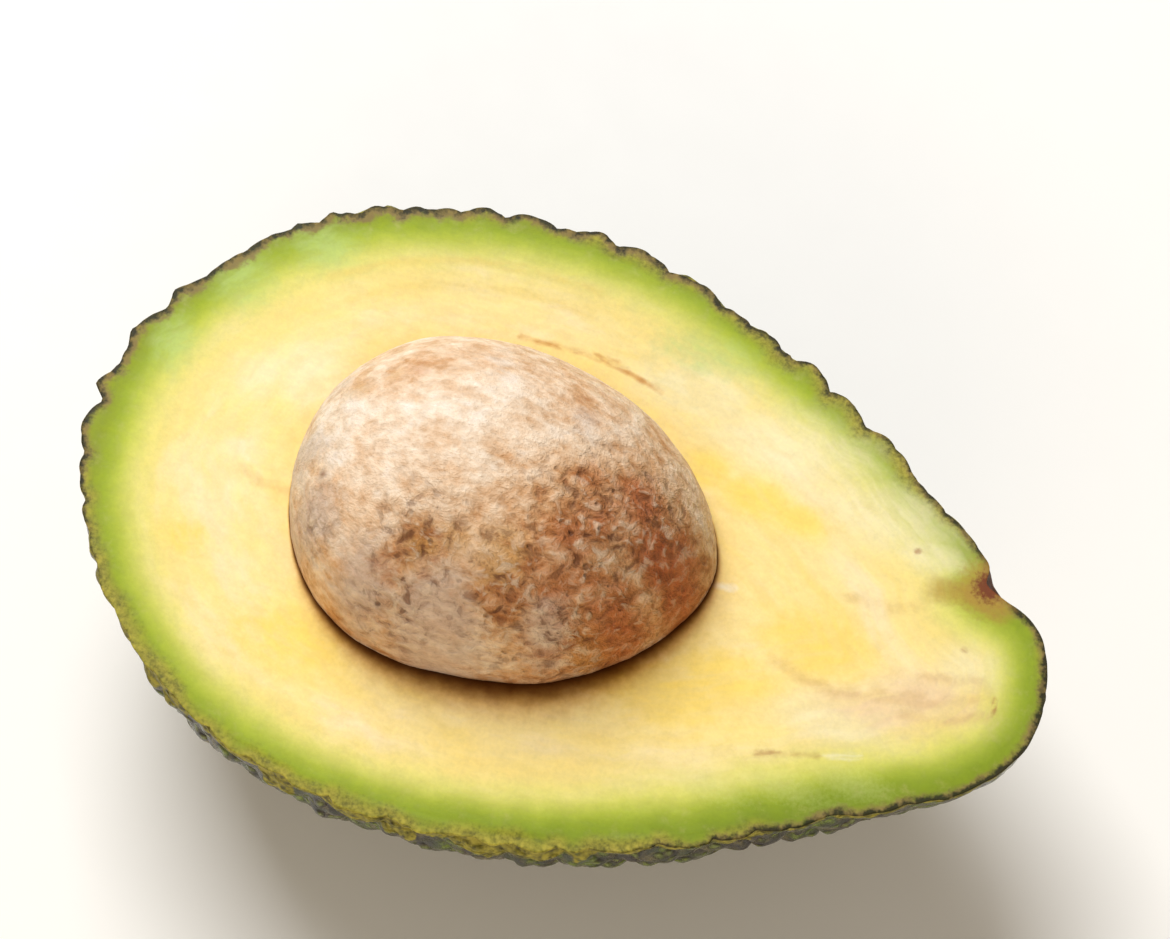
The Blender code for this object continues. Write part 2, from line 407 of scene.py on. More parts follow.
def makeSkin():
    look = skinLook
    made, shader, add = newMaterial("pebbledAvocadoSkin")
    place = add("TexCoord", {}, "Object")
    inMm = add("VectorMath SCALE", {0: place, "Scale": 1 / mm})
    patch = add("TexNoise", {0: inMm, "Scale": 1 / look["patchSize"], "Detail": 4, "Roughness": 0.6})
    speck = add("TexNoise", {0: inMm, "Scale": 1 / look["speckSize"], "Detail": 4, "Roughness": 0.6})
    warpSize, warpBy = look["warp"]
    warp = add("TexNoise", {0: inMm, "Scale": 1 / warpSize, "Detail": 2})
    bend = add("VectorMath SCALE", {0: warp.node.outputs["Color"], "Scale": warpBy})
    bent = add("VectorMath ADD", {0: inMm, 1: bend})
    grains = add("TexVoronoi SMOOTH_F1", {0: bent, "Scale": 1 / look["grain"], "Smoothness": 0.3})
    dome = add("MapRange SMOOTHSTEP", {0: grains, "range": (0.62, 0.1, 0, 1)})
    # green or brown by patch, with each grain's own lean
    own = add("SeparateColor", {0: grains.node.outputs["Color"]})
    lean = add("Math MULTIPLY_ADD", {0: own, 1: 0.2, 2: -0.1})
    leaning = add("Math ADD", {0: patch, 1: lean})
    colour = add("ValToRGB", {0: leaning, "stops": look["tones"]})
    # each grain has a painted highlight on its top and painted shade, nearly black, round its foot, and some
    # valleys have cork
    top = add("MapRange", {0: dome, "range": (0.25, 1, 0, 0.5)})
    foot = add("MapRange", {0: dome, "range": (0.4, 0, 0, 0.7)})
    low = add("MapRange", {0: dome, "range": (0.3, 0, 0, 1)})
    corkHere = add("MapRange", {0: warp, "range": (0.5, 0.66, 0, 0.7)})
    lowCork = add("Math MULTIPLY", {0: low, 1: corkHere})
    lightSpecks = add("MapRange", {0: speck, "range": (0.6, 0.76, 0, 0.35)})
    fromScar = add("Attribute mmFromScar", {}, "Fac")
    corky = add("MapRange", {0: fromScar, "range": (2.6, 4.4, 1, 0)})
    layers = [(top, "paintedGrainHighlight"), (foot, "paintedGrainShade"), (lowCork, "valley"), (lightSpecks, "valley"),
              (corky, "cork")]
    for share, tone in layers:
        colour = add("Mix", {0: share, 6: colour, 7: look[tone]})
    # the bared rind just under the cut, with an uneven edge
    scrape = add("Attribute scrape", {}, "Fac")
    scrapeEdge = add("Math ADD", {0: scrape, 1: speck})
    bared = add("MapRange", {0: scrapeEdge, "range": (0.9, 1.1, 0, 0.95)})
    rindTone = add("ValToRGB", {0: speck, "stops": look["scrape"]})
    colour = add("Mix", {0: bared, 6: colour, 7: rindTone})
    # it and the scar's cork are matt and have no wax
    dull = add("Math MAXIMUM", {0: bared, 1: corky})
    rough = add("MapRange", {0: speck, "range": (0.35, 0.65, *look["roughness"])})
    matter = add("Math MULTIPLY_ADD", {0: dull, 1: 0.4, 2: rough})
    wax = add("MapRange", {0: dull, "range": (0, 0.95, look["wax"], 0)})
    heights = add("Math MULTIPLY_ADD", {0: speck, 1: 0.3, 2: dome})
    bump = add("Bump", {"Height": heights, "Distance": look["bump"] * mm})
    fillNode(shader, {"Base Color": colour, "Roughness": matter, "Coat Weight": wax, "Normal": bump,
                      "IOR": 1.45, "Specular IOR Level": 0.28, "Coat Roughness": 0.08})
    return made


# Ripe avocado flesh: soft, oily and moist. Light goes a little way in, so its edges glow, and the knife
# leaves a faint sheen with fine streaks. Under the skin is a thin olive rind that runs into the green flesh.
fleshLook = {
    # tones by mm from the skin
    "tones": [
        (1.2, "#97A426"), (2.4, "#A6B92C"), (3.5, "#BFCB48"), (4.6, "#D6D768"), (5.8, "#E6DE7E"),
        (7.2, "#F2E08D"), (9, "#F9E398"), (12, "#FBE49E"),
    ],
    "skinLine": "#1A140B",
    "skinTan": "#8A7647",
    "rindTones": [(0.38, "#6C6724"), (0.48, "#918A33"), (0.6, "#AFA443")],
    "mint": "#B9D27C", "deepGreen": "#7D9320", "bloom": "#CBD28C",
    "deepYellow": "#FADA60", "cream": "#FBE8BA", "gold": "#F8DD7E", "pale": "#F4EBC2", "pink": "#E9CDA8",
    # the seed's painted shadow on the flesh: a brown shade, and a darker painted core next to the seed
    "nearSeed": "#F5D27C", "seedShade": "#BD7A12", "seedDark": "#4E2500", "seedSkin": "#C98A3A",
    # the white tone is for pale lines and for a painted glint beside the seed's tip
    "white": "#FDF8EA", "stain": "#B08C3E", "cork": "#74321C", "redMark": "#9C5634",
    "arcs": "#E2C76A", "fibre": "#C79F62",
    "roughness": (0.42, 0.6),
    # each marking: its attribute in mm or as a mask, where it fades from and to, how far its edge strays,
    # how broken it is, its strength and its tone
    "markings": [
        ("mmFromSeed", 0, 5, 3, 0, 0.55, "nearSeed"),
        ("paleLack", 0, 1, 0.5, 0.3, 0.7, "pale"),
        ("pinkLack", 0, 1, 0.7, 0.4, 0.75, "pink"),
        ("mintLack", 0, 1, 0.8, 0.4, 0.65, "mint"),
        ("yellowLack", 0, 1, 0.8, 0.3, 0.75, "deepYellow"),
        ("mmFromArcs", 0, 0.9, 0.8, 0.8, 0.45, "arcs"),
        ("mmFromFibres", 0, 1, 1, 0.6, 0.32, "fibre"),
        ("mmFromStain", 0.3, 2, 1.2, 0.3, 0.7, "stain"),
        ("mmFromSeedSkin", 0, 0.5, 0.5, 0.7, 0.85, "seedSkin"),
        # pale lines, and one painted glint on the flesh beside the seed's tip
        ("mmFromWhiteLines", 0, 0.6, 0.8, 0.7, 0.55, "white"),
        ("mmFromRedMarks", 0, 0.5, 0.8, 0.7, 0.65, "redMark"),
        # the seed's painted shadow on the flesh, widest on the side away from the key light, with a darker
        # painted core next to the seed
        ("seedStain", 0.1, 3.2, 1.2, 0, 0.8, "seedShade"),
        ("seedStain", 0, 1.9, 0.6, 0, 0.95, "seedDark"),
    ],
}


def makeCutMaterial(name):
    look = fleshLook
    made, shader, add = newMaterial(name)
    place = add("TexCoord", {}, "Object")
    inMm = add("VectorMath SCALE", {0: place, "Scale": 1 / mm})
    # the flesh grew in layers along the outline, and the peel's cut is marked along its edge
    growth = add("Attribute growthPlace", {}, "Vector")
    edgePlace = add("VectorMath MULTIPLY", {0: inMm, 1: (1, 1, 0.3)})
    # each noise: mm between its features, detail, roughness and place
    cloud, dapple, grain, fibre, area, along, farAlong = [
        add("TexNoise", {0: at, "Scale": 1 / size, "Detail": detail, "Roughness": rough})
        for size, detail, rough, at in (
            (6, 4, 0.6, inMm), (1.6, 3, 0.6, inMm), (0.45, 3, 0.6, inMm), (1.3, 3, 0.55, growth),
            (4.5, 4, 0.6, growth), (2.2, 3, 0.6, edgePlace), (7.5, 2, 0.5, edgePlace))]
    # how far the noises move an edge, in mm to both sides together
    jog, smallJog, rindJog, mottle, scarJog = [
        add("Math MULTIPLY_ADD", {0: noisy, 1: size, 2: -size / 2}) for noisy, size in (
            (cloud, 1.8), (dapple, 0.8), (grain, 0.7), (dapple, 3), (grain, 2.6))]
    marks = {}
    for mark in ("mmFromSkin", "mmFromScar", "greenDepth", "deepGreen", "bloomLack", "rindShare",
                 "skinShare"):
        marks[mark] = add("Attribute " + mark, {}, "Fac")
    jogs = add("Math ADD", {0: jog, 1: smallJog})
    depth = add("Math ADD", {0: marks["greenDepth"], 1: jogs})
    span = look["tones"][-1][0]
    share = add("Math MULTIPLY", {0: depth, 1: 1 / span})
    colour = add("ValToRGB", {0: share, "stops": [(mmIn / span, tone) for mmIn, tone in look["tones"]]})
    # a pale bloom mottles the green, and cream and yellow areas lie inside it, long in the way it grew
    bloomSum = add("Math SUBTRACT", {0: grain, 1: marks["bloomLack"]})
    bloom = add("MapRange", {0: bloomSum, "range": (-0.2, 0.7, 0, 0.32)})
    inside = add("MapRange", {0: depth, "range": (4.5, 9, 0, 1)})
    creamHere = add("MapRange", {0: area, "range": (0.5, 0.66, 0, 0.8)})
    cream = add("Math MULTIPLY", {0: creamHere, 1: inside})
    goldHere = add("MapRange", {0: area, "range": (0.48, 0.34, 0, 0.6)})
    gold = add("Math MULTIPLY", {0: goldHere, 1: inside})
    layers = [(marks["deepGreen"], "deepGreen"), (bloom, "bloom"), (cream, "cream"), (gold, "gold")]
    for share, tone in layers:
        colour = add("Mix", {0: share, 6: colour, 7: look[tone]})
    for attribute, start, end, stray, broken, strength, tone in look["markings"]:
        mark = add("Attribute " + attribute, {}, "Fac")
        strays = add("Math MULTIPLY_ADD", {0: dapple, 1: stray, 2: -stray / 2})
        edge = add("Math ADD", {0: mark, 1: strays})
        mask = add("MapRange SMOOTHSTEP", {0: edge, "range": (start, end, strength, 0)})
        gaps = add("MapRange", {0: fibre, "range": (0.42, 0.56, 1 - broken, 1)})
        share = add("Math MULTIPLY", {0: mask, 1: gaps})
        colour = add("Mix", {0: share, 6: colour, 7: look[tone]})
    # the mottled rind, wide in places and gone in others
    rindDepth = add("Math ADD", {0: marks["mmFromSkin"], 1: rindJog})
    widen = add("MapRange", {0: farAlong, "range": (0.35, 0.65, 0.5, -0.5)})
    rindLess = add("Math MULTIPLY_ADD", {0: marks["rindShare"], 1: -1.3, 2: 1})
    rindWide = add("Math ADD", {0: rindDepth, 1: rindLess})
    rindEdge = add("Math ADD", {0: rindWide, 1: widen})
    rindMask = add("MapRange SMOOTHSTEP", {0: rindEdge, "range": (0.2, 1.9, 0.92, 0)})
    fineSum = add("Math ADD", {0: grain, 1: dapple})
    rindHalf = add("Math MULTIPLY", {0: fineSum, 1: 0.5})
    rindTone = add("ValToRGB", {0: rindHalf, "stops": look["rindTones"]})
    colour = add("Mix", {0: rindMask, 6: colour, 7: rindTone})
    # the cut skin: a line of uneven width, nearly black outside and tan inside
    thicken = add("MapRange", {0: along, "range": (0.36, 0.62, 0, -1.3)})
    thicker = add("Math MULTIPLY", {0: thicken, 1: marks["skinShare"]})
    thinner = add("MapRange", {0: marks["skinShare"], "range": (0.3, 0.06, -0.1, 0.7)})
    skinEdge = add("Math ADD", {0: thicker, 1: thinner})
    lineDepth = add("Math ADD", {0: rindDepth, 1: skinEdge})
    lineMask = add("MapRange SMOOTHSTEP", {0: lineDepth, "range": (0, 0.85, 0.92, 0)})
    inwardSum = add("Math ADD", {0: rindDepth, 1: mottle})
    inward = add("MapRange", {0: inwardSum, "range": (0.15, 0.75, 0, 1)})
    lineTone = add("Mix", {0: inward, 6: look["skinLine"], 7: look["skinTan"]})
    colour = add("Mix", {0: lineMask, 6: colour, 7: lineTone})
    # the stem scar's stain, and its cork
    scarDepth = add("Math ADD", {0: marks["mmFromScar"], 1: scarJog})
    layers = [("SMOOTHSTEP", (1.4, 4.2, 0.75, 0), "stain"), ("LINEAR", (0.9, 1.9, 0.9, 0), "cork")]
    for fade, ends, tone in layers:
        mask = add("MapRange " + fade, {0: scarDepth, "range": ends})
        colour = add("Mix", {0: mask, 6: colour, 7: look[tone]})
    # fine uneven light and dark of the cells
    allFine = add("Math ADD", {0: fineSum, 1: fibre})
    streaks = add("MapRange", {0: allFine, "range": (1.2, 1.8, 0.93, 1.04)})
    shaded = add("VectorMath SCALE", {0: colour, "Scale": streaks})
    rough = add("MapRange", {0: dapple, "range": (0.3, 0.7, *look["roughness"])})
    heights = add("Math MULTIPLY_ADD", {0: grain, 1: 0.5, 2: dapple})
    bump = add("Bump", {"Height": heights, "Strength": 0.3, "Distance": 0.08 * mm})
    fillNode(shader, {"Base Color": shaded, "Roughness": rough, "Normal": bump, "IOR": 1.4,
                      "Specular IOR Level": 0.25, "Subsurface Weight": 0.2, "Subsurface Scale": 1.2 * mm,
                      "Subsurface Radius": (1.0, 0.8, 0.25)})
    return made


fleshShape = {
    "columns": 640,
    "hollowRings": 10,
    "lipRings": 8,
    "faceRings": 70,
    "sideRings": 14,
    "underEdge": (0.35, 0.03),   # mm that the flesh goes under the peel's cut edge, and mm below it
    "inPeel": (0.3, 1.6),        # mm to the peel at the sides, and mm from the ground
    "lip": (-0.15, 0.4, 0.35),   # mm clear of the seed, mm of rounded lip, its depth against its width
    "openSide": (1.6, -70, 1.5), # mm more of lip where the seed stands off, that side, its sharpness
    "waves": (0.13, 15),         # mm high, mm long
    "knife": (0.02, 0.9, 7, 5),  # mm deep, mm apart, mm long, and mm of height over which they change
    "easeShares": (0.05, 0.1),   # shares of the cut face where these ease off, at the edge and the lip
    "growthTurn": 9,             # mm, the radius of the circle on which the growth is mapped
    "deepGreen": (5.5, 1.0),     # mm from the skin where the deep green starts, and where it is full
    "stain": (0.09, 1.4),        # how wide the painted shadow round the seed is, and more on the open side
    "scarInside": 2.4,           # mm from the outline to the middle of the scar's stain
}
# Lines and patches on the cut face, in mm from the middle of the fat end
fleshMarks = {
    "mmFromArcs": [
        [(-17, 20.4), (-10.7, 24), (-4, 26.4), (3.1, 27.3), (9.5, 27.1)],
        [(-14.2, 18.5), (-7, 22.5), (1.9, 24.6), (9.4, 24.4)],
    ],
    "mmFromFibres": [
        [(43, 3.8), (44.9, 3.9), (47.2, 4), (50.2, 5.4)],
        [(37.6, -4.5), (40.8, -5.6), (44.3, -6), (48.6, -5.2), (52.5, -3.7)],
        [(52, -1.8), (55.2, -1.2), (57.4, -0.5), (59, -2.4)],
        [(48.2, -4.8), (53, -4.5), (57.9, -2.3)],
        [(51.2, -6.2), (55.1, -5.7), (58.9, -3.8)],
        [(-18.4, -1.9), (-16.1, -2.7), (-12.9, -2.7)],
    ],
    # pale lines on the cut face; the short one beside the seed's tip is a painted glint
    "mmFromWhiteLines": [[(45.2, -12.4), (47, -11.9), (48.6, -11.4)], [(29.6, 0.9), (31.9, 1.2)],
                         [(-19.6, 0.6), (-18.9, -0.6), (-17.6, -0.9)]],
    "mmFromRedMarks": [[(59.3, -1.9), (59.8, -3.4)], [(38.9, -14.3), (41.8, -13.4), (44.8, -12.6)],
                       [(55.1, 2.1), (55.2, 2.1)], [(47.8, 10.4), (47.9, 10.5)]],
    "mmFromStain": [[(50.8, 7.2), (53, 7.7), (55.6, 7.9), (57.4, 6.9)]],
    "mmFromSeedSkin": [[(3.4, 19.9), (9.6, 20.3), (14, 19.9), (18.8, 18.7)], [(11, 20.4), (13.6, 20.4)]],
}
# x, y, radius in mm, and stretch along X
fleshPatches = {
    "yellowLack": [(25.5, 12.2, 2.4, 1.2), (31, 11, 2.2, 2.2), (36, 10, 2, 2), (41, -1.8, 4, 1.6),
                   (28, -11, 3.6, 2.2), (33.5, -8, 3.4, 2), (-21.5, -10.3, 2, 1.4), (-8, -17, 3.5, 2)],
    "paleLack": [(43, 13, 4, 2.2), (33, 17, 4.5, 2.2), (22, 20, 3.5, 2), (-19.3, 0, 1.8, 1.2),
                 (-15, 9, 4, 1), (49, 10.5, 2, 2), (44, -9, 2.2, 3.4), (56, 0.5, 2.6, 1.2),
                 (-20, 8, 3, 0.8)],
    "pinkLack": [(53, -3.8, 2.6, 2.4), (48, -6.5, 2, 3)],
    "mintLack": [(-25, 17, 3.2, 1), (-29.5, 8.5, 3, 0.8), (-18.5, 23.2, 2.8, 1.4), (22, 24, 2.2, 2.4)],
    "bloomLack": [(35, -18.6, 1.8, 3), (42, -16.6, 1.8, 3), (48.5, -14.2, 1.8, 2.6)],
}

# how wide the green zone is, by degrees round from +X, against its usual width
greenWidth = [
    (0, 1.1), (12, 1.1), (30, 1), (60, 0.95), (90, 1), (140, 1.15), (180, 1.2), (220, 1), (270, 0.9),
    (300, 1), (325, 1.2), (345, 1.2), (360, 1.1),
]
# how much of the tan rind shows at the cut, and how thick the dark skin is there, the same way
rindShare = [
    (0, 0.05), (12, 0.4), (25, 0.9), (70, 0.85), (100, 0.5), (130, 0.15), (170, 0.3), (195, 0.6),
    (215, 0.65), (300, 0.75), (328, 0.5), (345, 0.15), (360, 0.05),
]
skinShare = [
    (0, 0.3), (30, 0.2), (75, 0.35), (105, 0.6), (130, 0.75), (170, 0.6), (195, 0.2), (225, 0.04),
    (285, 0.04), (305, 0.08), (325, 0.2), (340, 0.3), (360, 0.3),
]
# how dark the green is under the skin, the same way
greenDarkness = [
    (0, 0.6), (20, 0.35), (60, 0.3), (120, 0.35), (170, 0.35), (220, 0.35), (260, 0.4), (300, 0.8),
    (340, 0.95), (360, 0.6),
]
greenStart = 1.0   # mm of skin and rind outside the smooth outline


def openShareAt(turn):
    # 1 on the side where the seed stands off from its hollow, away from the key light, where the painted
    # shadow of the seed is widest; 0 on the others
    more, side, sharpness = fleshShape["openSide"]
    return np.clip(np.cos(turn - math.radians(side)), 0, 1) ** sharpness


def markCutFace(piece, rimPoints):
    # what the cut material reads: distances in mm, and masks that are 0 in the middle of a patch
    look = fleshShape
    mesh = piece.data
    points = meshArray(mesh.vertices)
    turn = np.arctan2(points[:, 1], points[:, 0])
    degrees = np.degrees(turn) % 360
    angles = np.linspace(0, math.tau, 2401)
    fromSkin = mmTo(waysAt(angles) * polarRadius(rimPoints)(angles)[:, None], points)
    fromSeed = mmTo(waysAt(angles) * seedRadius(angles)[:, None] + seedMiddle, points)
    smoothRim = planeCurve(0)
    outside = np.hypot(points[:, 0], points[:, 1]) > polarRadius(smoothRim)(turn)
    fromSmooth = mmTo(smoothRim, points) * np.where(outside, -1, 1)
    radius = look["growthTurn"]
    aroundSeed = np.arctan2(points[:, 1] - seedMiddle[1], points[:, 0] - seedMiddle[0])
    stain, openShadowMore = look["stain"]
    marks = {
        "mmFromSkin": fromSkin,
        "growthPlace": np.stack([np.cos(turn) * radius, np.sin(turn) * radius, fromSkin], axis=1),
        "greenDepth": (fromSmooth + greenStart) / byDegrees(greenWidth, degrees),
        "rindShare": byDegrees(rindShare, degrees),
        "skinShare": byDegrees(skinShare, degrees),
        "deepGreen": byDegrees(greenDarkness, degrees) * smooth(fromSkin, *look["deepGreen"]),
        "mmFromSeed": fromSeed,
        # the seed's painted shadow: mm from the seed against the shadow's width there, which is larger on the
        # side away from the key light
        "seedStain": fromSeed / (stain + openShadowMore * openShareAt(aroundSeed)),
    }
    for name, lines in fleshMarks.items():
        marks[name] = np.min([mmToLine(points, line) for line in lines], axis=0)
    for name, spots in fleshPatches.items():
        mask = np.zeros(len(points))
        for x, y, size, stretch in spots:
            away = np.hypot((points[:, 0] / mm - x) / stretch, points[:, 1] / mm - y)
            mask = np.maximum(mask, np.exp(-((away / size) ** 2)))
        marks[name] = 1 - mask
    at = math.radians(fruit["scarAt"])
    scar = (float(fruitRadius(at)) - look["scarInside"] * mm) * np.array([math.cos(at), math.sin(at), 0])
    marks["mmFromScar"] = np.linalg.norm(points - scar, axis=1) / mm
    for name, values in marks.items():
        addAttribute(mesh, name, values)


peelLook = {
    "rows": 156,                 # faces along a quarter of the fruit
    "finePebbles": {"count": 2600, "height": 0.45, "roundness": 2, "seed": 11, "jitter": 0.4},
    # how far down the knife bared the rind, in mm by degrees round from +X, and how that fades
    "scrape": [(0, 0.2), (25, 0.5), (60, 0.3), (95, 0), (180, 0.1), (190, 1.2), (205, 3.2), (218, 4),
               (250, 3.2), (285, 3.2), (310, 2.4), (335, 0.8), (360, 0.2)],
    "scrapeFade": (1, 0.4, 0.6), # mm below that depth, mm above the cut, and the share of the depth taken off
    "tornEdge": 3.2,             # mm that the lower edge of the bared rind strays
    "tornSize": (3.5, 3.5, 9),   # mm from one tear to the next
    "tipLeast": (0.08, 0.4),     # shares of the coarse and of the fine pebbles' height that the tip keeps
    # how high the pebbles are near the cut, by degrees round from +X, against their height elsewhere
    "calmRim": [(0, 0.8), (60, 0.9), (100, 0.9), (112, 0.7), (134, 0.6), (140, 0.3), (153, 0.3), (158, 0.6),
                (185, 0.6), (200, 0.5), (250, 0.5), (285, 0.8), (360, 0.8)],
    "calmDepth": (-5, -1),       # mm from the cut where that starts, and where it is full
    # and single bumps and notches of the cut edge, in mm outwards
    "rimBumps": [(106, 0), (109.5, 0.3), (112.6, -0.3), (115.6, 0.7), (118, 0.6), (121.3, 0.1), (125.4, 0.8),
                 (128.1, -0.4), (131.5, 0.5), (134, 0.1), (137, 0.2), (142.5, 0.2), (148.3, 0.1), (152, 0.1),
                 (156.1, 0.7), (158.5, 0.1), (161.9, 0.4), (165.8, 0.8), (168, 0.1), (173, 0), (176.5, 0.8),
                 (179, -0.1), (183, 0.7), (190, 0.4), (196, 0)],
    "bumpDepth": (-3.5, -0.4),   # mm from the cut, the same way
    "edgeBevel": 0.12,           # mm
    "edgeWidth": 0.5,            # mm, from the pebbles' valleys to where the flesh piece starts
    "edgeRings": 8,
    "edgeCrowding": 1.4,         # how much closer the edge's rings are at the outside
}


def makePeel():
    look = peelLook
    mesh = meshOf(dividedCube(look["rows"], True), "peelStart")
    start = meshArray(mesh.vertices)
    onRim = np.abs(start[:, 2]) < touching
    points = swellsAndScar(roundForm(cubeDirections(start, fruitRadius), fruitRadius))
    setMeshPoints(mesh, points)
    normals = meshArray(mesh.vertex_normals, "vector")
    # the pebbles fade towards the tip and near the cut
    tip = np.array([float(fruitRadius(0.0)), 0, 0])
    near, full = fruit["tipFade"]
    fade = (np.linalg.norm(points - tip, axis=1) / mm - near) / (full - near)
    lift = 0
    for pebbles, least in zip((fruit["pebbles"], look["finePebbles"]), look["tipLeast"]):
        lift = lift + pebbleLift(points, pebbles) * np.clip(fade, least, 1) * pebbles["height"]
    turn = np.degrees(np.arctan2(points[:, 1], points[:, 0])) % 360
    high = points[:, 2] / mm
    lift *= 1 - (1 - byDegrees(look["calmRim"], turn)) * smooth(high, *look["calmDepth"])
    lift += byDegrees(look["rimBumps"], turn) * smooth(high, *look["bumpDepth"])
    points = points + normals * (lift * mm)[:, None]
    points[onRim, 2] = -look["edgeBevel"] * mm
    points[:, 2] = np.maximum(points[:, 2], -cutHeight)
    setMeshPoints(mesh, points)

    # rings from the skin's rim to the flesh close the cut edge
    form = bmesh.new()
    form.from_mesh(mesh)
    bpy.data.meshes.remove(mesh)
    form.verts.ensure_lookup_table()
    skinCount = len(form.verts)
    rim = [form.verts[i] for i in np.flatnonzero(onRim)]
    rim.sort(key=lambda v: math.atan2(v.co.y, v.co.x))
    inner = polarRadius(planeCurve(look["edgeWidth"]))
    rings = [rim]
    for j in range(1, look["edgeRings"] + 1):
        share = (j / look["edgeRings"]) ** look["edgeCrowding"]
        ring = []
        for v in rim:
            angle = math.atan2(v.co.y, v.co.x)
            end = float(inner(angle)) * Vector((math.cos(angle), math.sin(angle), 0))
            ring.append(form.verts.new(Vector((v.co.x, v.co.y, 0)).lerp(end, share)))
        rings.append(ring)
    for outer, nextRing in zip(rings[:-1], rings[1:]):
        for i in range(len(rim)):
            k = (i + 1) % len(rim)
            face = form.faces.new((outer[i], outer[k], nextRing[k], nextRing[i]))
            face.material_index = 1
    bmesh.ops.recalc_face_normals(form, faces=form.faces[:])
    peel = addPiece(form, "pebbledPeel", [makeSkin(), makeCutMaterial("cutAvocadoRind")], "peel")

    bared = byDegrees(look["scrape"], turn)
    torn = noiseAt(points, look["tornSize"], 3) * look["tornEdge"] * np.minimum(bared / 2, 1)
    bared = np.maximum(bared + torn, 0)
    below, above, share = look["scrapeFade"]
    scrape = smooth(points[:, 2] / mm, -bared - below, above - bared * share)
    onCut = np.zeros(len(peel.data.vertices) - skinCount)
    addAttribute(peel.data, "scrape", np.concatenate([scrape, onCut]))
    rimPoints = points[onRim]
    markCutFace(peel, rimPoints)
    print("peel made", len(peel.data.polygons), "faces")
    return rimPoints


# The seed's coat: dry papery skin on a hard seed, pale where it lies flat and rust-brown in its wrinkled end,
# where painted shade darkens the creases and pits and a painted highlight lightens the ridges, matt with a
# faint sheen on the ridges
coatLook = {
    # tones from the darkest to the palest, by the sum of noises and masks
    "tones": [(0.22, "#6E3810"), (0.30, "#9A5524"), (0.38, "#C07E48"), (0.45, "#D8A676"), (0.52, "#E9C6A2"),
              (0.59, "#F5DEC4"), (0.70, "#FBF0E4")],
    "ochre": "#CE9C56", "mauve": "#C8B2A4", "rust": "#BB5526",
    # painted shade for the creases and pits, and a painted highlight for the ridges
    "paintedCreaseShade": "#6B3A1A", "paintedRidgeHighlight": "#F3DCC0", "dot": "#7A4526",
    "patchSize": 3.2,      # mm
    "streakSize": 1.1,     # mm across a streak
    "fineSize": 0.4,       # mm between the finest flecks
    "foldSize": 1.35,      # mm between the wrinkles' folds
    "pitSize": 1.1,        # mm between the pits
    "bump": 0.3,           # mm
    "roughness": (0.62, 0.42),   # in the folds and on the ridges
}


